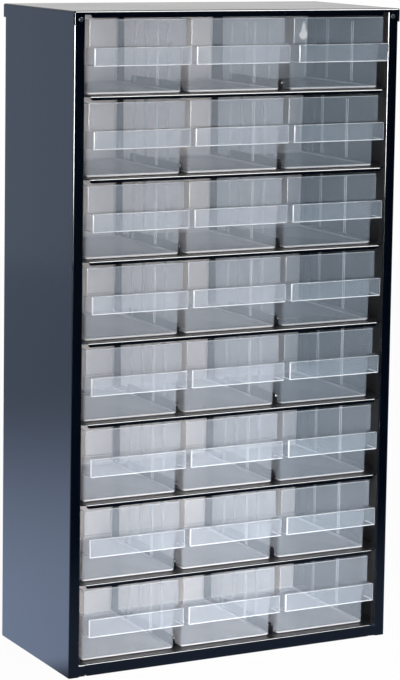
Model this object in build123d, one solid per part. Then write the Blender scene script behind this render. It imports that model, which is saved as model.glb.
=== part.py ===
from build123d import *
import math
import os

# Parts bin cabinet: a folded sheet steel case with a grid of moulded drawers.
# Millimetres, +Z up, the drawer fronts face -Y. The origin is the middle of the
# footprint at floor level, measured over the case and the drawer handles.

# ---- Driving dimensions: the case -------------------------------------------
rows = 8
columns = 3
row_pitch = 67.5            # floor of one row to the floor of the next
body_width = 306.0          # over the two side panels
body_depth = 141.0          # front of the stiles to the outside of the back
sheet = 0.8                 # every steel sheet
bend = 0.8                  # inside radius of a fold
base_floor = 10.4           # floor of the lowest row above the ground
stile_width = 9.6           # face of each front stile
stile_return = 8.0          # fold of the stile back into the case
rear_flange = 7.6           # fold of the side panel behind the drawers, clear of the keyholes
foot_flange = 12.0          # fold of the side panel that the cabinet stands on

# ---- Driving dimensions: cap, deck and shelves ------------------------------
cap_gap = 0.2               # air between the cap's lips and the case
cap_side_lip = 11.5         # from the top of the cap down
cap_front_lip = 3.2
shelf_lip = 3.4             # folded front edge of a shelf, over its full height
deck_lip = 5.1
lip_inset = 5.4             # from a stile's inner edge to the end of a lip
lip_corner = 2.0            # rounding of a lip's lower corners
shelf_ear_gap = 1.0         # from a shelf's narrow front to the stile's inner edge
shelf_side_flange = 3.4
seam_gap = 0.1              # between neighbouring sheets that only locate
toe_height = 9.0            # stile's inner toe beside the bottom rail
toe_setback = 0.4
deck_tab_height = 9.0       # tab behind the stile that the front rivet holds

# ---- Driving dimensions: guide blades between the columns -------------------
guide_thickness = 1.6
guide_height = 8.4
guide_front = 15.0          # from the front of the stiles
guide_length = 94.0
guide_corner = 4.0
guide_tab_length = 10.0     # tab that drops through a slot in the shelf
guide_tab_inset = 12.0

# ---- Driving dimensions: rivets and wall hanging holes ----------------------
rivet_head_r = 2.0
rivet_head_height = 0.7
rivet_shank_r = 1.2
rivet_hole_gap = 0.05
rivet_tail = 0.6
rivet_edge = 5.6            # from the outside of the case to a back rivet
front_rivet_drop = 7.0      # from the top of the cap
back_rivets_per_side = 4
back_rivet_margin = 30.0    # from the top and the bottom of the back panel
keyhole_side = 12.4         # from the side of the case
keyhole_drop = 30.0         # centre of the round part below the top of the cap
keyhole_r = 4.5
keyhole_neck = 5.2          # width of the slot where it leaves the round part
keyhole_tip = 3.6           # width of the slot at its top
keyhole_rise = 11.0         # from the centre of the round part to the top

# ---- Driving dimensions: one drawer -----------------------------------------
wall = 1.4
drawer_play = 9.6           # bay width less the width of the drawer's bottom
draft = 0.7                 # growth of each side from the bottom to the rim
drawer_setback = 7.8        # from the front of the stiles to the lower front
drawer_rear_gap = 8.2       # from the drawer to the outside of the back
rim_gap = 2.3               # from the rim to the lip above
floor_gap = 0.3             # running gap under the drawer
drawer_corner = 2.5
bottom_round = 2.4
inner_round = 1.6
front_step = 5.3            # upper front stands this far before the lower front
front_overhang = 0.5        # the stepped front over the rim, each side
hood_bottom = 24.2          # handle hood above the drawer's bottom
hood_height = 15.3
handle_reach = 8.0          # hood before the front of the stiles
front_round = 1.2
ear_length = 14.0           # stop ears on the rear of the side walls
ear_rear = 4.0
ear_rise = 4.2
ear_slope = 2.0
divider_places = 2
divider_slot = 1.6
rib_width = 1.2
rib_proud = 1.0
rib_below_rim = 6.0
stop_gap = 0.3              # left between an ear and the lip at full travel

# Where the drawers stand in their side play: -1 is against the left guide and
# +1 against the right one. The top drawer of the last column stands in the middle.
column_rest = (0.30, -0.40, -0.95)
top_last_rest = 0.0

# ---- Sizes that follow ------------------------------------------------------
body_front = -(body_depth + cap_gap + sheet + handle_reach) / 2 + handle_reach
body_rear = body_front + body_depth
top_underside = base_floor + rows * row_pitch
overall_height = top_underside + 2 * sheet
opening_half = body_width / 2 - stile_width
bay = 2 * opening_half / columns
lip_half = opening_half - lip_inset
inner_half = body_width / 2 - sheet
back_inside = body_rear - sheet
side_rear_inside = back_inside - sheet

drawer_front = body_front + drawer_setback
drawer_length = body_rear - drawer_rear_gap - drawer_front
drawer_height = row_pitch - shelf_lip - rim_gap - floor_gap
drawer_bottom_width = bay - drawer_play
drawer_rim_width = drawer_bottom_width + 2 * draft
hood_width = drawer_rim_width + 2 * front_overhang
hood_reach = drawer_setback + handle_reach
hood_top = hood_bottom + hood_height
side_play = (drawer_play - guide_thickness) / 2 - floor_gap
ear_front = drawer_length - ear_rear - ear_length
drawer_travel = drawer_front + ear_front - (body_front + sheet) - stop_gap


def row_floor(row):
    """Top of the sheet that row 1 (the top one) to row 8 stands on."""
    return base_floor + (rows - row) * row_pitch


def drawer_place(row, column):
    """X of a drawer's middle, where it stands in its side play."""
    rest = column_rest[column - 1]
    if row == 1 and column == columns:
        rest = top_last_rest
    return (column - (columns + 1) / 2) * bay + rest * side_play


def block(x_range, y_range, z_range):
    """A box between two values on each axis."""
    size = [high - low for low, high in (x_range, y_range, z_range)]
    middle = [(high + low) / 2 for low, high in (x_range, y_range, z_range)]
    return Pos(*middle) * Box(*size)


def folded(points):
    """Section of a folded sheet. The points run along its outside, with the
    sheet on their left."""
    outside = [Vector(*point) for point in points]
    runs = [(end - start).normalized() for start, end in zip(outside, outside[1:])]
    inward = [Vector(-run.Y, run.X) * sheet for run in runs]
    inside = [outside[0] + inward[0]]
    inside += [p + a + b for p, a, b in zip(outside[1:-1], inward, inward[1:])]
    inside += [outside[-1] + inward[-1]]
    edge = FilletPolyline(*outside, radius=bend + sheet)
    edge += FilletPolyline(*inside, radius=bend)
    edge += Line(outside[0], inside[0])
    edge += Line(outside[-1], inside[-1])
    return make_face(edge)


def folded_along_x(points, half_width):
    """Folded sheet whose section is drawn in (Y, Z)."""
    return extrude(Plane.YZ * folded(points), amount=half_width, both=True)


def folded_along_y(points, y_range):
    """Folded sheet whose section is drawn in (X, Z)."""
    section = Plane((0, y_range[1], 0), x_dir=(1, 0, 0), z_dir=(0, -1, 0))
    return extrude(section * folded(points), amount=y_range[1] - y_range[0])


def round_lip_corners(plate, lip_bottom):
    """Round the two lower corners of a tray's front lip."""
    corners = plate.edges().filter_by(Axis.Y)
    corners = corners.filter_by(lambda e: abs(e.center().Z - lip_bottom) < bend / 4)
    corners = corners.filter_by(lambda e: e.center().Y < body_front + sheet)
    return fillet(corners, lip_corner)


def tray(top, lip_height, flange_height):
    """Shelf, base or deck: a plate with folded edges whose narrow front comes
    out between the stiles and ends in a lip."""
    rear = side_rear_inside - seam_gap
    wide_front = body_front + stile_return + seam_gap
    fold = bend + sheet
    middle = folded_along_x([(rear, top - flange_height), (rear, top),
                             (body_front, top), (body_front, top - lip_height)], lip_half)
    middle = round_lip_corners(middle, top - lip_height)
    sides = folded_along_y([(inner_half, top - flange_height), (inner_half, top),
                            (-inner_half, top), (-inner_half, top - flange_height)],
                           (wide_front, rear - fold))
    ear_half = opening_half - shelf_ear_gap
    ears = block((-ear_half, ear_half), (body_front + fold, wide_front + fold), (top - sheet, top))
    return middle + sides + ears


def guide_slots(top):
    """Cuts for the guide tabs, one pair of tabs for each gap between columns."""
    slots = []
    for x in guide_lines():
        for y in guide_tab_places():
            slots.append(block((x - guide_thickness / 2 - seam_gap, x + guide_thickness / 2 + seam_gap),
                               (y - seam_gap, y + guide_tab_length + seam_gap), (top - sheet, top)))
    return slots


def guide_lines():
    return [(gap - columns / 2) * bay for gap in range(1, columns)]


def guide_tab_places():
    start = body_front + guide_front
    return (start + guide_tab_inset, start + guide_length - guide_tab_inset - guide_tab_length)


def guide_blades(top):
    """Upright blades on a shelf that keep the columns of drawers apart."""
    start = body_front + guide_front
    blades = []
    for x in guide_lines():
        side = (x - guide_thickness / 2, x + guide_thickness / 2)
        blade = block(side, (start, start + guide_length), (top, top + guide_height))
        upper = blade.edges().filter_by(Axis.X).group_by(Axis.Z)[-1]
        blade = fillet(upper, guide_corner)
        for y in guide_tab_places():
            blade += block(side, (y, y + guide_tab_length), (top - sheet, top))
        blades.append(blade)
    return blades


def rivet(x, y, z, grip, outward):
    """Rivet along Y through a grip of sheets. The head lies on the face at y,
    and outward is -1 for the front and +1 for the back."""
    head = Cylinder(rivet_head_r, rivet_head_height, align=(Align.CENTER, Align.CENTER, Align.MIN))
    head = fillet(head.edges().group_by(Axis.Z)[-1], rivet_head_height * 0.7)
    tail = Cylinder(rivet_shank_r + rivet_tail, rivet_tail,
                    align=(Align.CENTER, Align.CENTER, Align.MAX))
    shank = Cylinder(rivet_shank_r, grip, align=(Align.CENTER, Align.CENTER, Align.MAX))
    body = head + shank + Pos(0, 0, -grip) * tail
    return Plane((x, y, z), x_dir=(1, 0, 0), z_dir=(0, outward, 0)) * body


def rivet_hole(x, z):
    """Hole for a rivet, long enough for the sheets on either side of its place."""
    return Pos(x, 0, z) * Rot(90, 0, 0) * Cylinder(rivet_shank_r + rivet_hole_gap, 8 * sheet)


def front_rivet_places():
    """Middle of the flat between the stile's return and the side of the case."""
    x = body_width / 2 - (stile_width / 2 + sheet)
    return [(-x, overall_height - front_rivet_drop), (x, overall_height - front_rivet_drop)]


def back_rivet_places():
    x = body_width / 2 - rivet_edge
    span = overall_height - 2 * back_rivet_margin
    heights = [back_rivet_margin + span * i / (back_rivets_per_side - 1)
               for i in range(back_rivets_per_side)]
    return [(side * x, z) for side in (-1, 1) for z in heights]


def keyhole(x):
    """Wall hanging hole: a round part with a tapering slot above it."""
    z = overall_height - keyhole_drop
    tip_z = keyhole_rise - keyhole_tip / 2
    slot = Polygon((-keyhole_neck / 2, 0), (keyhole_neck / 2, 0),
                   (keyhole_tip / 2, tip_z), (-keyhole_tip / 2, tip_z), align=None)
    outline = Circle(keyhole_r) + slot + Pos(0, tip_z) * Circle(keyhole_tip / 2)
    face = Plane((x, body_rear, z), x_dir=(1, 0, 0), z_dir=(0, -1, 0))
    return extrude(face * outline, amount=2 * sheet, both=True)


def side_panel():
    """Right side panel: stile and return at the front, a flange at the rear and
    one underneath, all folded inwards."""
    outer = body_width / 2
    section = folded([(opening_half, body_front + stile_return), (opening_half, body_front),
                      (outer, body_front), (outer, back_inside), (outer - rear_flange, back_inside)])
    panel = extrude(section, amount=top_underside)
    panel += block((outer - foot_flange, outer - bend), (body_front + stile_return, back_inside - bend),
                   (0, sheet))
    toe_front = body_front + toe_setback
    panel += block((lip_half + seam_gap, opening_half + sheet + bend), (toe_front, toe_front + sheet),
                   (toe_setback, toe_height))
    for x, z in front_rivet_places():
        panel -= Pos(0, body_front, 0) * rivet_hole(x, z)
    for x, z in back_rivet_places():
        panel -= Pos(0, back_inside, 0) * rivet_hole(x, z)
    return panel


def back_panel():
    half = body_width / 2 - bend
    panel = block((-half, half), (back_inside, body_rear), (sheet, top_underside))
    for x, z in back_rivet_places():
        panel -= Pos(0, body_rear, 0) * rivet_hole(x, z)
    for side in (-1, 1):
        panel -= keyhole(side * (body_width / 2 - keyhole_side))
    return panel


def top_cap():
    """Lid over the case. It hangs down outside the sides and the back, and a
    little at the front."""
    half = body_width / 2 + cap_gap + sheet
    front = body_front - cap_gap - sheet
    rear = body_rear + cap_gap + sheet
    side_bottom = overall_height - cap_side_lip
    across = folded_along_y([(half, side_bottom), (half, overall_height),
                             (-half, overall_height), (-half, side_bottom)],
                            (front + sheet, rear - sheet))
    along = folded_along_x([(rear, side_bottom), (rear, overall_height),
                            (front, overall_height), (front, overall_height - cap_front_lip)],
                           half - sheet - bend)
    return across + along


def top_deck():
    """Sheet that closes the case under the cap, with the rail over the top row."""
    deck = tray(top_underside + sheet, deck_lip, deck_lip)
    tab_front = body_front + sheet
    for side in (-1, 1):
        edges = sorted((side * (opening_half + sheet + bend), side * (inner_half - bend)))
        deck += block(edges, (tab_front, tab_front + sheet),
                      (top_underside - deck_tab_height, top_underside + sheet))
        deck += block(edges, (tab_front, tab_front + stile_return), (top_underside, top_underside + sheet))
    for x, z in front_rivet_places():
        deck -= Pos(0, tab_front, 0) * rivet_hole(x, z)
    return deck


def shelf(top):
    return tray(top, shelf_lip, shelf_side_flange) - guide_slots(top)


def base_tray():
    """Floor of the lowest row, with the bottom rail. It stands on the side
    panels' foot flanges."""
    return tray(base_floor, base_floor - toe_setback, base_floor - sheet) - guide_slots(base_floor)


def tapered_box(width, length, corner, height, growth):
    """Box with rounded uprights that grows by the same amount on every side."""
    lean = math.degrees(math.atan2(growth, height))
    return extrude(RectangleRounded(width, length, corner), amount=height, taper=-lean)


def drawer_shell():
    """Tapered box of the drawer and the hollow in it, both from y = 0 backwards."""
    length = drawer_length - draft
    middle = Pos(0, drawer_length / 2, 0)
    outside = tapered_box(drawer_bottom_width, length - draft, drawer_corner, drawer_height, draft)
    outside = fillet(outside.edges().group_by(Axis.Z)[0], bottom_round)
    hollow = tapered_box(drawer_bottom_width - 2 * wall, length - draft - 2 * wall,
                         drawer_corner - wall / 2, drawer_height, draft)
    hollow = fillet(hollow.edges().group_by(Axis.Z)[0], inner_round)
    return middle * outside, middle * Pos(0, 0, wall) * hollow


def front_block(y_range, z_range, shrink):
    """Block of the stepped front, with its two front uprights and its upper
    front edge rounded, drawn in by shrink on every side that shows."""
    half = hood_width / 2 - shrink
    y_low = y_range[0] + shrink
    part = block((-half, half), (y_low, y_range[1]), z_range)
    uprights = part.edges().filter_by(Axis.Z).group_by(Axis.Y)[0]
    return fillet(uprights, max(front_round - shrink, front_round / 3))


def handle_hood():
    """Pull handle: a hood across the front, open underneath."""
    depth = (-hood_reach, drawer_corner)
    outside = front_block(depth, (hood_bottom, hood_top), 0)
    hollow = front_block(depth, (hood_bottom - wall, hood_top - wall), wall)
    return outside - hollow


def drawer_ribs():
    """Pairs of upright ribs on both side walls, for dividers."""
    x_low = drawer_bottom_width / 2 - wall - rib_proud
    x_high = drawer_rim_width / 2 - wall / 2
    ribs = []
    for place in range(1, divider_places + 1):
        y = drawer_length * place / (divider_places + 1)
        for offset in (-divider_slot / 2 - rib_width, divider_slot / 2):
            for side in (-1, 1):
                ribs.append(block(sorted((side * x_low, side * x_high)),
                                  (y + offset, y + offset + rib_width),
                                  (wall / 2, drawer_height - rib_below_rim)))
    return ribs


def stop_ears():
    """Ears on the rear of the rims that catch behind the lip above."""
    outline = Polygon((ear_front, -wall), (ear_front + ear_length, -wall),
                      (ear_front + ear_length, ear_rise - ear_slope),
                      (ear_front + ear_length - ear_slope, ear_rise), (ear_front, ear_rise), align=None)
    x_low = drawer_rim_width / 2 - wall
    ears = []
    for start in (x_low, -x_low - wall):
        face = Plane((start, 0, drawer_height), x_dir=(0, 1, 0), z_dir=(1, 0, 0))
        ears.append(extrude(face * outline, amount=wall))
    return ears


def drawer():
    """One moulded drawer. y = 0 is the lower front, z = 0 its underside."""
    outside, hollow = drawer_shell()
    step_floor = hood_top - wall
    upper = (-front_step, drawer_corner)
    step_outside = front_block(upper, (step_floor, drawer_height), 0)
    step_hollow = front_block((upper[0], 2 * drawer_corner), (hood_top, drawer_height + wall), wall)
    body = outside + step_outside + handle_hood()
    body = body - hollow - step_hollow
    body = body + drawer_ribs()
    return body + stop_ears()


def node(name, *solids):
    export_step(Compound(children=[s for solid in solids for s in solid.solids()]),
                os.path.join("parts", name + ".step"))


os.makedirs("parts", exist_ok=True)

right_side = side_panel()
node("side_panel_right", right_side)
node("side_panel_left", mirror(right_side, about=Plane.YZ))
node("back_panel", back_panel())
node("top_cap", top_cap())
node("top_deck", top_deck())
node("base_tray", base_tray())
for row in range(1, rows):
    node(f"shelf_{row}", shelf(row_floor(row)))
for row in range(1, rows + 1):
    node(f"guides_{row}", *guide_blades(row_floor(row)))

node("front_rivets", *[rivet(x, body_front, z, 2 * sheet, -1) for x, z in front_rivet_places()])
node("back_rivets", *[rivet(x, body_rear, z, 2 * sheet, 1) for x, z in back_rivet_places()])

one_drawer = drawer()
for row in range(1, rows + 1):
    for column in range(1, columns + 1):
        place = Pos(drawer_place(row, column), drawer_front, row_floor(row) + floor_gap)
        node(f"drawer_r{row}_c{column}", place * one_drawer)
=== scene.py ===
"""Parts bin cabinet: the painted steel case from the CAD frame with its finishes,
and the moulded bins worked out here as rounded shells around the CAD drawers.

Everything is in metres, +Z up, with the drawer fronts facing -Y. Sizes of a bin are
from its own corner: x = 0 in its middle, y = 0 at the lower front, z = 0 underneath.
"""

import bmesh
import bpy
import numpy as np
from mathutils import Matrix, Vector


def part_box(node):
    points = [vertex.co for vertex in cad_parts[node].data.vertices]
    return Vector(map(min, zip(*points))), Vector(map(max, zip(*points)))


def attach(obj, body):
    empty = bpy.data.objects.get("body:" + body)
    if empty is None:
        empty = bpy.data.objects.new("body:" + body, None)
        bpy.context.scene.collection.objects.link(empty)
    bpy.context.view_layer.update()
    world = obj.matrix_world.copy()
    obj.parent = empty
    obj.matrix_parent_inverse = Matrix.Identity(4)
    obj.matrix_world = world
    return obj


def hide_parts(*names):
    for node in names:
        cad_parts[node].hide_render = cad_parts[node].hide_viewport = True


bl_info = {
    "name": "Parts bin cabinet",
    "version": (1, 0, 0),
    "blender": (4, 5, 0),
    "location": "View3D > Sidebar > Parts cabinet",
    "description": "Finishes the steel case and makes its moulded bins",
    "category": "Object",
}

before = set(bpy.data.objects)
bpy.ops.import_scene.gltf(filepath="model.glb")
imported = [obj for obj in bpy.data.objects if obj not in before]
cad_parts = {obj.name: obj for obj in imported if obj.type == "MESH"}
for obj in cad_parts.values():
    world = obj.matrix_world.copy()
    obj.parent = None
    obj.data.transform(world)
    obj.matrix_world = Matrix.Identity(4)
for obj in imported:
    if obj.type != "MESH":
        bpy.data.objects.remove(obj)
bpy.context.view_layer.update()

ROWS = 8
COLUMNS = 3
BINS = {f"drawer_r{row}_c{column}": (row, column)
        for row in range(1, ROWS + 1) for column in range(1, COLUMNS + 1)}
GUIDES = [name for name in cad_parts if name.startswith("guides_")]
RIVETS = [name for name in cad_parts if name.endswith("_rivets")]
SHEETS = [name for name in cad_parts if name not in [*BINS, *GUIDES, *RIVETS]]


# ---- Settings ----------------------------------------------------------------

def length(name, text, default):
    """Setting in metres."""
    return bpy.props.FloatProperty(name=name, description=text, default=default, unit="LENGTH",
                                   subtype="DISTANCE", precision=4)


def share(name, text, default):
    """Setting from 0 to 1."""
    return bpy.props.FloatProperty(name=name, description=text, default=default, min=0.0, max=1.0,
                                   subtype="FACTOR")


def colour(name, text, default):
    """Colour setting, in linear light."""
    return bpy.props.FloatVectorProperty(name=name, description=text, default=default, size=3,
                                         min=0.0, max=1.0, subtype="COLOR")


class CaseSettings(bpy.types.PropertyGroup):
    paint: colour("Paint", "Colour of the painted sheet steel", (0.0004, 0.0014, 0.0040))
    worn: colour("Worn paint", "Colour that the paint rubs and dusts towards", (0.0018, 0.0040, 0.0080))
    gloss: share("Roughness", "Roughness of the paint", 0.09)
    guide_paint: colour("Guide paint", "Colour of the guide blades", (0.0008, 0.0022, 0.0060))
    rivet: colour("Rivet", "Colour of the bare rivet heads", (0.07, 0.08, 0.095))


class BinSettings(bpy.types.PropertyGroup):
    bottom_width: length("Bottom width", "Width of a bin at its bottom", 0.086)
    depth: length("Depth", "Lower front to rear at the rim", 0.125)
    height: length("Height", "Underside to rim", 0.0615)
    draft: length("Draft", "Growth of each side from the bottom to the rim", 0.0007)
    wall: length("Wall", "Thickness of the moulding", 0.0014)
    step: length("Step", "How far the upper front stands before the lower front", 0.0053)
    shoulder: length("Shoulder", "How far the stepped front stands past the sides", 0.0005)
    hood_low: length("Hood bottom", "Underside of the pull to the bin's underside", 0.0242)
    hood_high: length("Hood top", "Top of the pull", 0.0395)
    reach: length("Reach", "How far the pull stands before the lower front", 0.0158)
    plastic: colour("Plastic", "Colour of the milky plastic", (0.60, 0.67, 0.77))
    # Thick plastic: a painted light, the warmer tint that the rear wall and the bottom take, on the same
    # plastic as the front.
    painted_warm_light: colour("Thick plastic", "Colour of the walls that light soaks through", (0.93, 0.88, 0.87))
    # Last column: a painted shade, darker and bluer, standing for the shade of the case's dark side
    # panel beside these bins.
    shadowed: colour("Last column", "Colour of the clearer bins in the last column", (0.47, 0.57, 0.68))
    # Edges: partly the plastic seen along its thickness, partly a painted highlight along them.
    edge: colour("Edges", "Colour of the plastic seen along its thickness", (0.93, 0.94, 0.97))
    veil: share("Veil", "How much the front hides what is behind it", 0.24)
    pull_veil: share("Pull veil", "How much the pull hides what is behind it", 0.22)
    # Side veil and left veil differ as painted light: the left wall shows whiter, for light falling on
    # it from the left.
    side_veil: share("Side veil", "How much the right side wall hides what is behind it", 0.08)
    left_veil: share("Left veil", "How much the left side wall hides what is behind it", 0.34)
    rear_veil: share("Rear veil", "How much the rear wall hides what is behind it", 0.72)
    base_veil: share("Base veil", "How much the bottom hides what is under it", 0.60)


class StageSettings(bpy.types.PropertyGroup):
    floor: colour("Floor", "Colour of the floor", (0.86, 0.86, 0.86))
    lamp: bpy.props.FloatProperty(name="Lamp", description="Power that each lamp takes a share of",
                                  default=26.0, min=0.0, unit="POWER")
    sky: bpy.props.FloatProperty(name="Sky", description="Strength of the even studio light",
                                 default=0.12, min=0.0)


# ---- Shader maths ------------------------------------------------------------

class Val:
    """A socket of a node tree that takes Python's operators. Each operator adds
    the Math node that it means."""

    def __init__(self, tree, socket):
        self.tree, self.socket = tree, socket

    def math(self, operation, *others, clamp=False):
        """A Math node on this value and the others."""
        return self.tree.node("ShaderNodeMath", {"operation": operation, "use_clamp": clamp},
                              {i: v for i, v in enumerate((self, *others))})

    def __add__(self, other):
        return self.math("ADD", other)

    def __radd__(self, other):
        return self.math("ADD", other)

    def __sub__(self, other):
        return self.math("SUBTRACT", other)

    def __rsub__(self, other):
        return (self * -1.0) + other

    def __mul__(self, other):
        return self.math("MULTIPLY", other)

    def __rmul__(self, other):
        return self.math("MULTIPLY", other)

    def __abs__(self):
        return self.math("ABSOLUTE")

    def most(self, other):
        return self.math("MAXIMUM", other)

    def clamp(self):
        return self.math("ADD", 0.0, clamp=True)

    def rise(self, low, high):
        """0 below low, 1 above high and a smooth step between them."""
        return self.tree.node("ShaderNodeMapRange", {"interpolation_type": "SMOOTHSTEP"},
                              {"Value": self, "From Min": low, "From Max": high})

    def near(self, place, width):
        """1 at place, falling smoothly to 0 at width from it."""
        return 1.0 - abs(self - place).rise(width * 0.35, width)


class Tree:
    """Node tree of a material or a world, emptied, with one method that adds a node."""

    def __init__(self, owner):
        owner.use_nodes = True
        self.owner = owner
        self.nodes, self.links = owner.node_tree.nodes, owner.node_tree.links
        self.nodes.clear()

    def node(self, kind, settings=None, values=None, out=0):
        """A node of this kind: its settings first, then what goes into its sockets.
        Gives the output socket that is asked for."""
        made = self.nodes.new(kind)
        for key, value in (settings or {}).items():
            setattr(made, key, value)
        for key, value in (values or {}).items():
            self.feed(made, key, value)
        return Val(self, made.outputs[out]) if made.outputs else made

    def feed(self, made, key, value):
        """Links a value to a socket, or sets the socket to a number or a colour."""
        if isinstance(value, Val):
            self.links.new(value.socket, made.inputs[key])
        else:
            made.inputs[key].default_value = value

    def place(self):
        """Where a point of the piece is, in the frame of its object."""
        return self.node("ShaderNodeTexCoord", out="Object")

    def stretch(self, vector, scale):
        """A vector scaled along each axis."""
        return self.node("ShaderNodeMapping", None, {"Vector": vector, "Scale": scale})

    def noise(self, vector, scale, detail=2.0, roughness=0.5):
        return self.node("ShaderNodeTexNoise", None,
                         {"Vector": vector, "Scale": scale, "Detail": detail, "Roughness": roughness})

    def axes(self, vector):
        """The three parts of a vector."""
        made = self.nodes.new("ShaderNodeSeparateXYZ")
        self.links.new(vector.socket, made.inputs[0])
        return [Val(self, made.outputs[i]) for i in range(3)]

    def rays(self):
        """1 for a camera ray, for a glossy ray, and for a ray through clear stuff."""
        made = self.nodes.new("ShaderNodeLightPath")
        return [Val(self, made.outputs[name])
                for name in ("Is Camera Ray", "Is Glossy Ray", "Is Transmission Ray")]

    def blend(self, share, low, high):
        """Colour that goes from low to high as share goes from 0 to 1."""
        low, high = [v if isinstance(v, Val) else (*v, 1.0) for v in (low, high)]
        return self.node("ShaderNodeMix", {"data_type": "RGBA"},
                         {"Factor": share, 6: low, 7: high}, out=2)

    def bump(self, height, distance):
        """A normal tilted by a height of 0 to 1 that stands for this distance."""
        return self.node("ShaderNodeBump", None,
                         {"Strength": 1.0, "Distance": distance, "Height": height})

    def surface(self, **values):
        """The Principled shader with these values, as the material's surface."""
        shader = self.node("ShaderNodeBsdfPrincipled", None,
                           {key.replace("_", " "): value for key, value in values.items()})
        self.node("ShaderNodeOutputMaterial", None, {"Surface": shader})
        return self.owner


# Steps from the outer faces of the case to its inside, in y, y, |x| and z.
INSIDE_FRONT = (-0.0655, -0.0640)
INSIDE_BACK = (0.0733, 0.0737)
INSIDE_SIDE = (0.1524, 0.1527)
INSIDE_TOP = (0.5510, 0.5514)


def sheet_paint(name, paint, worn, gloss):
    """Baked enamel on sheet steel: fine orange peel, faint uneven gloss, and dust
    and rubbing that pale it in patches. The inside of the case is duller."""
    tree = Tree(bpy.data.materials.new(name))
    place = tree.place()
    peel = tree.noise(place, 620.0, 2.0)
    cloud = tree.noise(place, 9.0, 3.0)
    dust = tree.noise(place, 160.0, 4.0, 0.62)
    specks = dust.rise(0.64, 0.74) * cloud.rise(0.40, 0.62)
    pale = (cloud.rise(0.35, 0.75) * 0.25 + specks * 0.5).clamp()
    x, y, z = tree.axes(place)
    inside = y.rise(*INSIDE_FRONT) * (1.0 - y.rise(*INSIDE_BACK)) \
        * (1.0 - abs(x).rise(*INSIDE_SIDE)) * (1.0 - z.rise(*INSIDE_TOP))
    uneven, dusty, duller = 0.06, 0.20, 0.24
    rough = gloss + cloud * uneven + specks * dusty + inside * duller
    return tree.surface(Base_Color=tree.blend(pale, paint, worn), Roughness=rough,
                        Normal=tree.bump(peel, 0.000012), IOR=1.6)


def rivet_metal(name, metal, paint):
    """Bare rivet heads, rubbed bright, with paint left in the low places."""
    tree = Tree(bpy.data.materials.new(name))
    grain = tree.noise(tree.place(), 1400.0, 3.0)
    left = tree.noise(tree.place(), 380.0, 2.0).rise(0.52, 0.66)
    return tree.surface(Base_Color=tree.blend(left, metal, paint), Roughness=0.30 + grain * 0.2,
                        Metallic=1.0 - left, Normal=tree.bump(grain, 0.00003))


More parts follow.
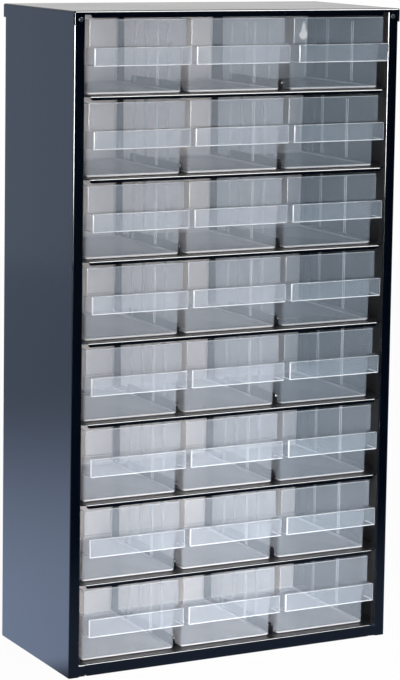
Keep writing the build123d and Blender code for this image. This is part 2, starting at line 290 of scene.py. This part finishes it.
def milky_plastic(name, sizes):
    """Natural polypropylene: a wall lets the dark case through as through a veil,
    nearly all of which is in its outer skin. It is denser and whiter at the rim, the
    pull's edges, the ribs and the foot of the walls, partly as plastic seen along its
    thickness and partly as a painted highlight. The rear wall and the bottom carry a
    painted, warmer light, and the bins of the last column a painted shade. Attribute
    "place" is a point's place in its bin, "outer" is 1 on the outer skin, and "clear"
    is how much of the last column's painted shade a bin takes, 1 in full."""
    inner_veil, edge_and_highlight_veil, shaded_veil_loss, clouding = 0.015, 0.55, 0.20, 0.03
    tree = Tree(bpy.data.materials.new(name))
    place = tree.place()
    inner = tree.node("ShaderNodeAttribute", {"attribute_name": "place"}, out="Vector")
    outer = tree.node("ShaderNodeAttribute", {"attribute_name": "outer"}, out="Fac")
    x, y, z = tree.axes(inner)
    side = abs(x)
    wall, half = sizes.wall, sizes.bottom_width / 2
    stepped = half + sizes.draft + sizes.shoulder

    # Whiter, denser edges: partly the plastic seen along its thickness, partly a painted highlight along
    # the rim, the pull, the ribs and the foot of the walls.
    rim = z.rise(sizes.height - 0.0009, sizes.height - 0.0004) * 0.35
    pull = 1.0 - y.rise(-0.0005, 0.0003)
    pull_front = 1.0 - y.rise(-sizes.reach + 0.0012, -sizes.reach + 0.0020)
    pull_foot = pull * z.near(sizes.hood_low, 0.0009)
    pull_head = pull_front * z.near(sizes.hood_high, 0.0008) * 0.7
    pull_ends = pull_front * side.rise(stepped - 0.0011, stepped - 0.0005)
    panel = z.rise(sizes.hood_high, sizes.hood_high + 0.001) * (1.0 - y.rise(-0.0046, -0.0040))
    panel_ends = panel * side.rise(stepped - 0.0009, stepped - 0.0004) * 0.35
    foot = z.near(0.0012, 0.0014) * 0.5
    rib = side.near(half - wall - 0.0007, 0.0008) * z.rise(0.003, 0.004) * y.rise(0.008, 0.009) \
        * (1.0 - y.rise(0.100, 0.101)) * 0.5
    edges = rim.most(pull_foot).most(pull_head).most(pull_ends).most(panel_ends).most(foot).most(rib)

    walls = side.rise(half - wall - 0.0003, half - wall) * y.rise(0.0010, 0.0030)
    rear = y.rise(sizes.depth - wall - 0.0014, sizes.depth - wall - 0.0010)
    base = 1.0 - z.rise(wall + 0.0001, wall + 0.0004)
    # Painted light: the left wall is denser, and so whiter, than the right, standing for light falling
    # on it from the left.
    sides = sizes.left_veil + x.rise(-0.01, 0.01) * (sizes.side_veil - sizes.left_veil)
    veil = sizes.veil + pull * (sizes.pull_veil - sizes.veil) * (1.0 - panel)
    veil = veil * (1.0 - walls) + walls * sides
    veil = veil * (1.0 - rear) + rear * sizes.rear_veil
    veil = veil * (1.0 - base) + base * sizes.base_veil
    flow = tree.noise(tree.stretch(place, (1.0, 1.0, 3.0)), 16.0, 3.0)
    skin = tree.noise(place, 60.0, 3.0)
    # Painted shade on the last column's bins: their fronts let more of the dark case through and turn
    # darker and bluer.
    clear = tree.node("ShaderNodeAttribute", {"attribute_name": "clear"}, out="Fac")
    outside = outer * (veil + (flow - 0.5) * clouding) * (1.0 - clear * shaded_veil_loss)
    see = outside + (1.0 - outer) * inner_veil + edges * edge_and_highlight_veil
    # Rear wall and bottom: a painted, warmer light, with less of it on the last column's bins.
    painted_warm_walls = rear.most(base)
    milky = tree.blend(clear, tuple(sizes.plastic), tuple(sizes.shadowed))
    tint = tree.blend(painted_warm_walls * (1.0 - clear * 0.5), milky, tuple(sizes.painted_warm_light))
    whole = tree.blend(edges, tint, tuple(sizes.edge))
    return tree.surface(Base_Color=whole, Roughness=0.18 + skin * 0.08, Alpha=see.clamp(),
                        Normal=tree.bump(skin, 0.00004), IOR=1.49)


# ---- Surfaces ----------------------------------------------------------------

CORNER_STEPS = 5


def quarter(steps):
    """Sine and one minus cosine over a quarter turn, for the rounding of an edge."""
    turn = np.linspace(0.0, np.pi / 2, steps)
    return np.sin(turn), 1.0 - np.cos(turn)


def rings(rows):
    """Closed rings, one for each row of (half width at the front and at the rear,
    front, rear, corner radius at the front and at the rear, height). A ring is a
    rectangle with rounded corners: point (u, v) is a corner's centre plus its
    radius times (cos, sin) of the corner's turn."""
    turn = np.linspace(0.0, np.pi / 2, CORNER_STEPS)
    turns = np.concatenate([turn + k * np.pi / 2 for k in range(4)])
    right = np.repeat([1.0, -1.0, -1.0, 1.0], CORNER_STEPS)
    at_rear = np.repeat([True, True, False, False], CORNER_STEPS)
    wide_front, wide_rear, front, rear, round_front, round_rear, z = np.array(rows).T[:, :, None]
    radius = np.where(at_rear, round_rear, round_front)
    x = right * (np.where(at_rear, wide_rear, wide_front) - radius) + radius * np.cos(turns)
    y = np.where(at_rear, rear - radius, front + radius) + radius * np.sin(turns)
    return np.stack([x, y, np.broadcast_to(z, x.shape)], axis=-1)


def closed_skin(grid):
    """Vertices and faces of a grid of rings, closed at its first and last ring.
    Face (v, u) joins ring v to ring v + 1 between the points u and u + 1."""
    count, around = grid.shape[:2]
    index = np.arange(count * around).reshape(count, around)
    ahead = np.roll(index, -1, axis=1)
    quads = np.stack([index[:-1], ahead[:-1], ahead[1:], index[1:]], axis=-1).reshape(-1, 4)
    return grid.reshape(-1, 3), quads.tolist() + [index[0][::-1].tolist(), index[-1].tolist()]


def mesh_of(name, skins):
    """One mesh of several closed skins."""
    points, faces, start = [], [], 0
    for vertices, polygons in skins:
        points.append(vertices)
        faces += [[start + i for i in polygon] for polygon in polygons]
        start += len(vertices)
    mesh = bpy.data.meshes.new(name)
    mesh.from_pydata(np.concatenate(points).tolist(), [], faces)
    mesh.validate()
    return mesh


def cup(s):
    """The bin without its pull: a profile carried round a rounded rectangle. It
    goes up the outside, out over the step at the front, round the rim, down the
    inside, over the step's floor and round the foot of the walls."""
    wall, high = s.wall, s.height
    sin, cos = quarter(6)

    def ring(z, inset, stepped=False, ahead=0.0):
        grow = s.draft * z / high
        side = s.bottom_width / 2 + grow
        if stepped:
            wide, front, corner = s.bottom_width / 2 + s.draft + s.shoulder, -s.step, 0.0012
        else:
            wide, front, corner = side, s.draft - grow, 0.0025
        return [wide - inset, side - inset, front + inset + ahead, s.depth - s.draft + grow - inset,
                max(corner - inset, 0.0005), max(0.0025 - inset, 0.0005), z]

    foot, lip, bend, floor_bend = 0.0024, 0.0005, 0.0008, 0.0016
    rows = [ring(foot * c, foot * (1 - n)) for n, c in zip(sin, cos)]
    rows += [ring(s.hood_high - 0.0012, 0.0), ring(s.hood_high - 0.0010, 0.0, True)]
    rows += [ring(high - lip * (1 - n), lip * c, True) for n, c in zip(sin, cos)]
    rows += [ring(high - lip * c, wall - lip * (1 - n), True) for n, c in zip(sin, cos)]
    rows += [ring(s.hood_high + bend * (1 - n), wall, True, bend * c) for n, c in zip(sin, cos)]
    rows += [ring(s.hood_high, wall, False, -0.0004), ring(s.hood_high - 0.0004, wall)]
    rows += [ring(wall + floor_bend * (1 - n), wall + floor_bend * c) for n, c in zip(sin, cos)]
    return closed_skin(rings(rows))


def hood(s):
    """The pull: a shallow hood over the fingers, open underneath. Its profile goes
    down the inside, over its foot and up the outside to the rounded top. It runs
    back into the middle of the bin's front wall."""
    wall = s.wall
    half = s.bottom_width / 2 + s.draft + s.shoulder
    ceiling, top = s.hood_high - wall - 0.00005, s.hood_high - 0.00005
    back_outside, back_inside = 0.0009, 0.00055
    sin, cos = quarter(5)

    def ring(z, inset):
        back = back_outside if inset < wall - 0.0001 else back_inside
        return [half - inset, half - inset, -s.reach + inset, back,
                max(0.0014 - inset, 0.0005), 0.0002, z]

    edge, inner_edge, foot = 0.0011, 0.0006, 0.0004
    rows = [ring(ceiling - inner_edge * c, wall + inner_edge * (1 - n)) for n, c in zip(sin, cos)]
    rows += [ring(s.hood_low + foot * (1 - n), wall - foot * c) for n, c in zip(sin, cos)]
    rows += [ring(s.hood_low + foot * c, foot * (1 - n)) for n, c in zip(sin, cos)]
    rows += [ring(top - edge * (1 - n), edge * c) for n, c in zip(sin, cos)]
    return closed_skin(rings(rows))


def pillar(x, y, z, rounding):
    """Box between the pairs x, y and z, rounded on its uprights and its top edges:
    rings that draw in over the top as a quarter circle."""
    sin, cos = quarter(4)
    half = (x[1] - x[0]) / 2
    insets = np.concatenate([[0.0], rounding * cos])
    heights = np.concatenate([[z[0]], z[1] - rounding + rounding * sin])
    grid = rings([[half - i, half - i, y[0] + i, y[1] - i, rounding * 1.01 - i * 0.9,
                   rounding * 1.01 - i * 0.9, h] for i, h in zip(insets, heights)])
    grid[..., 0] += (x[0] + x[1]) / 2
    return closed_skin(grid)


def ear(s, x):
    """Stop ear on the rear of a side wall: its outline in (y, z) carried along x,
    a little smaller at both ends."""
    outline = np.array([(0.107, -0.0014), (0.121, -0.0014), (0.121, 0.0022), (0.119, 0.0042),
                        (0.107, 0.0042)])
    outline[:, 1] += s.height
    centre = outline.mean(axis=0)
    soft = 0.0003
    along = np.array([x[0], x[0] + soft, x[1] - soft, x[1]])
    shrink = np.array([0.94, 1.0, 1.0, 0.94])
    flat = centre + (outline - centre) * shrink[:, None, None]
    grid = np.concatenate([np.broadcast_to(along[:, None, None], flat.shape[:2] + (1,)), flat], axis=-1)
    return closed_skin(grid)


def outward(mesh):
    """Normals of every closed skin recalculated to point out of it."""
    work = bmesh.new()
    work.from_mesh(mesh)
    bmesh.ops.recalc_face_normals(work, faces=work.faces)
    work.to_mesh(mesh)
    work.free()


def bin_mesh(s):
    """The whole moulding as one skin: the cup, united with its pull, ribs and ears."""
    rim_half = s.bottom_width / 2 + s.draft
    rib_inside, rib_outside, rib_thick, rib_round = 0.0406, 0.0426, 0.0012, 0.0004
    rib_foot, rib_head = 0.0007, s.height - 0.006
    beside_slot = (-0.0020, 0.0008)       # a rib on each side of a divider's slot
    sunk = 0.00003                        # keeps the ears' faces off the wall's
    extras = [hood(s)]
    for place in (s.depth / 3, 2 * s.depth / 3):
        for offset in beside_slot:
            for side in (-1.0, 1.0):
                x = sorted((side * rib_inside, side * rib_outside))
                extras.append(pillar(x, (place + offset, place + offset + rib_thick),
                                     (rib_foot, rib_head), rib_round))
    for side in (-1.0, 1.0):
        x = sorted((side * (rim_half - s.wall + sunk), side * (rim_half - sunk)))
        extras.append(ear(s, x))
    parts = []
    for name, skins in (("bin_cup", [cup(s)]), ("bin_extras", extras)):
        mesh = mesh_of(name, skins)
        outward(mesh)
        piece = bpy.data.objects.new(name, mesh)
        bpy.context.scene.collection.objects.link(piece)
        parts.append(piece)
    union = parts[0].modifiers.new("Union", "BOOLEAN")
    union.operation, union.solver, union.object = "UNION", "EXACT", parts[1]
    bpy.context.view_layer.update()
    done = bpy.data.meshes.new_from_object(parts[0].evaluated_get(bpy.context.evaluated_depsgraph_get()))
    for piece in parts:
        bpy.data.objects.remove(piece)
    return done


def coordinates(mesh):
    """All the points of a mesh, in one row of numbers."""
    points = np.empty(len(mesh.vertices) * 3, dtype=np.float32)
    mesh.vertices.foreach_get("co", points)
    return points


def outer_skin(mesh, s):
    """1 for a face of the outer skin and 0 for one of the inner skin: it is outer
    where its normal points away from the middle of the hollow beside it, which is
    the pull's or the bin's."""
    centre, normal = [np.empty(len(mesh.polygons) * 3, dtype=np.float32) for _ in range(2)]
    mesh.polygons.foreach_get("center", centre)
    mesh.polygons.foreach_get("normal", normal)
    centre, normal = centre.reshape(-1, 3), normal.reshape(-1, 3)
    in_pull = (centre[:, 1] < -0.0003) & (centre[:, 2] < s.hood_high + 0.00002)
    pull_middle = (0.0, -s.reach / 2, (s.hood_low + s.hood_high) / 2 - 0.002)
    bin_middle = (0.0, s.depth / 2, s.height / 2)
    away = centre - np.where(in_pull[:, None], pull_middle, bin_middle)
    return ((away * normal).sum(axis=1) > 0).astype(np.float32)


# ---- Operators ---------------------------------------------------------------

SHADED_ROWS = 5         # rows of the last column that take the painted shade in full
SHADE_FADE = 0.25      # and what each row below them loses of it


def finish_nodes(names, material):
    """The CAD nodes' own objects get this material in every slot."""
    for name in names:
        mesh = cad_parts[name].data
        mesh.materials.clear()
        mesh.materials.append(material)


class CABINET_OT_case(bpy.types.Operator):
    """Paint the folded sheets of the case"""
    bl_idname = "cabinet.case"
    bl_label = "Paint the case"

    def execute(self, context):
        s = context.scene.cabinet_case
        finish_nodes(SHEETS, sheet_paint("case_paint", tuple(s.paint), tuple(s.worn), s.gloss))
        return {"FINISHED"}


class CABINET_OT_guides(bpy.types.Operator):
    """Paint the guide blades between the bins"""
    bl_idname = "cabinet.guides"
    bl_label = "Paint the guides"

    def execute(self, context):
        s = context.scene.cabinet_case
        finish_nodes(GUIDES, sheet_paint("guide_paint", tuple(s.guide_paint), tuple(s.worn), s.gloss))
        return {"FINISHED"}


class CABINET_OT_rivets(bpy.types.Operator):
    """Finish the rivets"""
    bl_idname = "cabinet.rivets"
    bl_label = "Finish the rivets"

    def execute(self, context):
        s = context.scene.cabinet_case
        finish_nodes(RIVETS, rivet_metal("rivet_steel", tuple(s.rivet), tuple(s.paint)))
        return {"FINISHED"}


class CABINET_OT_bins(bpy.types.Operator):
    """Make the moulded bins, one in the place of each CAD drawer"""
    bl_idname = "cabinet.bins"
    bl_label = "Make the bins"

    def execute(self, context):
        s = context.scene.cabinet_bins
        pattern = bin_mesh(s)
        local = coordinates(pattern)
        place = pattern.attributes.new("place", "FLOAT_VECTOR", "POINT")
        place.data.foreach_set("vector", local)
        outer = pattern.attributes.new("outer", "FLOAT", "FACE")
        outer.data.foreach_set("value", outer_skin(pattern, s))
        pattern.materials.append(milky_plastic("milky_plastic", s))
        pattern.shade_smooth()
        pattern.set_sharp_from_angle(angle=0.6)
        for name, (row, column) in BINS.items():
            low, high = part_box(name)
            corner = np.array([(low.x + high.x) / 2, low.y + s.reach, low.z], dtype=np.float32)
            mesh = pattern.copy()
            mesh.vertices.foreach_set("co", (local.reshape(-1, 3) + corner).ravel())
            mesh.update()
            # Painted shade of the last column, in full over its upper rows and fading over the lowest.
            clear = mesh.attributes.new("clear", "FLOAT", "POINT")
            last = (column == COLUMNS) * (1.0 - SHADE_FADE * max(row - SHADED_ROWS, 0))
            clear.data.foreach_set("value", np.full(len(mesh.vertices), last, dtype=np.float32))
            piece = bpy.data.objects.new(name.replace("drawer", "bin"), mesh)
            context.scene.collection.objects.link(piece)
            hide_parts(name)
            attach(piece, name)
        return {"FINISHED"}


CAMERA_PLACE = (-1.0148, -1.9198, 0.6435)
CAMERA_TURN = (27.821, 6.67, -0.852)      # to the right, down, and roll, in degrees
FOCAL_PX = 2540.3                         # for a picture of 400 by 680
AXIS_ROW = 195.0                          # row of the picture that the lens looks along
PICTURE = (400, 680)

# Each lamp: its name, its place, what it faces, its diameter, its share of the power,
# and whether it lights gloss only.
LAMPS = (
    ("lamp_left", (-1.9, -1.3, 0.8), (0.0, 0.0, 0.2), 1.4, 0.18, False),
    ("lamp_front", (0.3, -2.4, 0.35), (0.0, 0.0, 0.2), 1.2, 2.0, False),
    ("lamp_low", (0.0, -0.36, 0.10), (0.0, -0.07, -0.05), 0.2, 0.032, False),
    ("glint_left", (-1.45, -0.80, 0.60), (-0.15, -0.07, 0.42), 0.8, 5.0, True),
    ("glint_over", (0.70, -0.85, 1.50), (0.0, 0.0, 0.30), 0.9, 2.0, True),
)


def aim(camera):
    """Camera axes from its turn: right, up and back as the columns of its matrix."""
    yaw, pitch, roll = np.radians(CAMERA_TURN)
    ahead = np.array([np.sin(yaw) * np.cos(pitch), np.cos(yaw) * np.cos(pitch), -np.sin(pitch)])
    level = np.array([np.cos(yaw), -np.sin(yaw), 0.0])
    below = np.cross(ahead, level)
    right = np.cos(roll) * level + np.sin(roll) * below
    down = np.cos(roll) * below - np.sin(roll) * level
    matrix = np.eye(4)
    matrix[:3, 0], matrix[:3, 1], matrix[:3, 2], matrix[:3, 3] = right, -down, -ahead, CAMERA_PLACE
    camera.matrix_world = Matrix(matrix.tolist())


class CABINET_OT_stage(bpy.types.Operator):
    """Make the floor, the studio light and the camera"""
    bl_idname = "cabinet.stage"
    bl_label = "Set the stage"

    def execute(self, context):
        s, scene = context.scene.cabinet_stage, context.scene
        lens = bpy.data.cameras.new("camera")
        lens.lens = FOCAL_PX / PICTURE[1] * lens.sensor_width
        lens.shift_y = (AXIS_ROW - PICTURE[1] / 2) / PICTURE[1]
        lens.clip_start, lens.clip_end = 0.05, 60.0
        camera = bpy.data.objects.new("camera", lens)
        scene.collection.objects.link(camera)
        aim(camera)
        scene.camera = camera

        self.floor(scene, tuple(s.floor))
        self.world(scene, s.sky)
        for name, place, target, size, part, gloss_only in LAMPS:
            self.lamp(scene, name, place, target, size, s.lamp * part, gloss_only)
        scene.view_settings.view_transform = "Standard"
        scene.cycles.transparent_max_bounces = 32
        return {"FINISHED"}

    def floor(self, scene, shade):
        """A round floor: rings of points about the middle, closed in the middle. It is
        white to the camera but for a little paper that keeps the shadow. Gloss sees
        it darker before the cabinet than beside it, with a cool tint."""
        paper_below, white_share = -0.0004, 0.97
        turn = np.linspace(0.0, 2 * np.pi, 96, endpoint=False)
        reach = np.array([0.4, 0.9, 1.6, 2.4])
        grid = np.stack([reach[:, None] * np.cos(turn), reach[:, None] * np.sin(turn),
                         np.full((4, 96), paper_below)], axis=-1)
        vertices, faces = closed_skin(grid)
        mesh = mesh_of("floor", [(vertices, [f for f in faces if len(f) == 4] + [faces[-2][::-1]])])
        piece = bpy.data.objects.new("floor", mesh)
        scene.collection.objects.link(piece)
        tree = Tree(bpy.data.materials.new("floor_paper"))
        grain = tree.noise(tree.place(), 40.0, 3.0)
        paper = tree.node("ShaderNodeBsdfPrincipled", None,
                          {"Base Color": tree.blend(grain, shade, tuple(v * 0.98 for v in shade)),
                           "Roughness": 0.7})
        seen, glossy, clear = tree.rays()
        y = tree.axes(tree.place())[1]
        ahead = y.rise(-0.52, -0.15) * 0.28
        beside = 0.60 + (1.0 - y.rise(0.10, 1.10)) * 1.05 + y.rise(1.2, 2.2) * 0.05
        past = y.rise(-0.07, 0.0)
        shine = ahead * (1.0 - past) + beside * past + 0.002
        cool = tree.blend(glossy, (1.0, 1.0, 1.0), (0.56, 0.70, 1.0))
        white = tree.node("ShaderNodeEmission", None,
                          {"Color": cool, "Strength": (1.0 - glossy) + glossy * shine})
        mixed = tree.node("ShaderNodeMixShader", None,
                          {0: seen.most(clear) * white_share + glossy, 1: paper, 2: white})
        tree.node("ShaderNodeOutputMaterial", None, {"Surface": mixed})
        mesh.materials.append(tree.owner)

    def world(self, scene, strength):
        """Even light. The camera and clear surfaces see white. Gloss sees a shaped
        studio: dark before the cabinet (-Y), light behind it and brighter overhead,
        with a cool tint on the left (-X)."""
        world = bpy.data.worlds.new("studio")
        tree = Tree(world)
        x, y, z = tree.axes(tree.node("ShaderNodeTexCoord", out="Generated"))
        camera_ray, glossy, clear = tree.rays()
        behind = y.rise(0.0, 0.7)
        gloss_light = 0.003 + behind * (0.77 - z.rise(0.02, 0.10) * 0.15) + z.rise(0.55, 0.85) * 1.2
        cool = tree.blend((1.0 - x.rise(-0.45, 0.1)) * glossy, (1.0, 1.0, 1.0), (0.58, 0.72, 1.0))
        light = camera_ray.most(clear)
        level = light + (1.0 - light) * (glossy * gloss_light + (1.0 - glossy) * strength)
        shine = tree.node("ShaderNodeBackground", None, {"Color": cool, "Strength": level})
        tree.node("ShaderNodeOutputWorld", None, {"Surface": shine})
        world.cycles.sampling_method = "NONE"
        scene.world = world

    def lamp(self, scene, name, place, target, size, power, gloss_only):
        """A round area lamp that faces its target and isn't seen itself."""
        light = bpy.data.lights.new(name, "AREA")
        light.shape, light.size, light.energy = "DISK", size, power
        piece = bpy.data.objects.new(name, light)
        scene.collection.objects.link(piece)
        piece.visible_camera = False
        piece.visible_glossy, piece.visible_diffuse = gloss_only, not gloss_only
        away = np.array(place) - np.array(target)
        away = away / np.linalg.norm(away)
        across = np.cross((0.0, 0.0, 1.0), away)
        across = across / np.linalg.norm(across)
        matrix = np.eye(4)
        matrix[:3, 0], matrix[:3, 1], matrix[:3, 2] = across, np.cross(away, across), away
        matrix[:3, 3] = place
        piece.matrix_world = Matrix(matrix.tolist())


class CABINET_PT_panel(bpy.types.Panel):
    """Lists the steps that make the cabinet"""
    bl_idname = "CABINET_PT_panel"
    bl_label = "Parts cabinet"
    bl_space_type = "VIEW_3D"
    bl_region_type = "UI"
    bl_category = "Parts cabinet"

    def draw(self, context):
        for group, (kind, steps) in GROUPS.items():
            box = self.layout.box()
            settings = getattr(context.scene, group)
            for name in settings.__annotations__:
                box.prop(settings, name)
            for step in steps:
                box.operator(step.bl_idname)


# Settings and the steps that use them
GROUPS = {
    "cabinet_case": (CaseSettings, (CABINET_OT_case, CABINET_OT_guides, CABINET_OT_rivets)),
    "cabinet_bins": (BinSettings, (CABINET_OT_bins,)),
    "cabinet_stage": (StageSettings, (CABINET_OT_stage,)),
}
CLASSES = (*(kind for kind, steps in GROUPS.values()),
           *(step for kind, steps in GROUPS.values() for step in steps), CABINET_PT_panel)


def register():
    for kind in CLASSES:
        bpy.utils.register_class(kind)
    for name, (kind, steps) in GROUPS.items():
        setattr(bpy.types.Scene, name, bpy.props.PointerProperty(type=kind))


def unregister():
    for name in GROUPS:
        delattr(bpy.types.Scene, name)
    for kind in reversed(CLASSES):
        bpy.utils.unregister_class(kind)


def main():
    register()
    for step in (bpy.ops.cabinet.case, bpy.ops.cabinet.guides, bpy.ops.cabinet.rivets,
                 bpy.ops.cabinet.bins, bpy.ops.cabinet.stage):
        step()


if __name__ == "__main__":
    main()
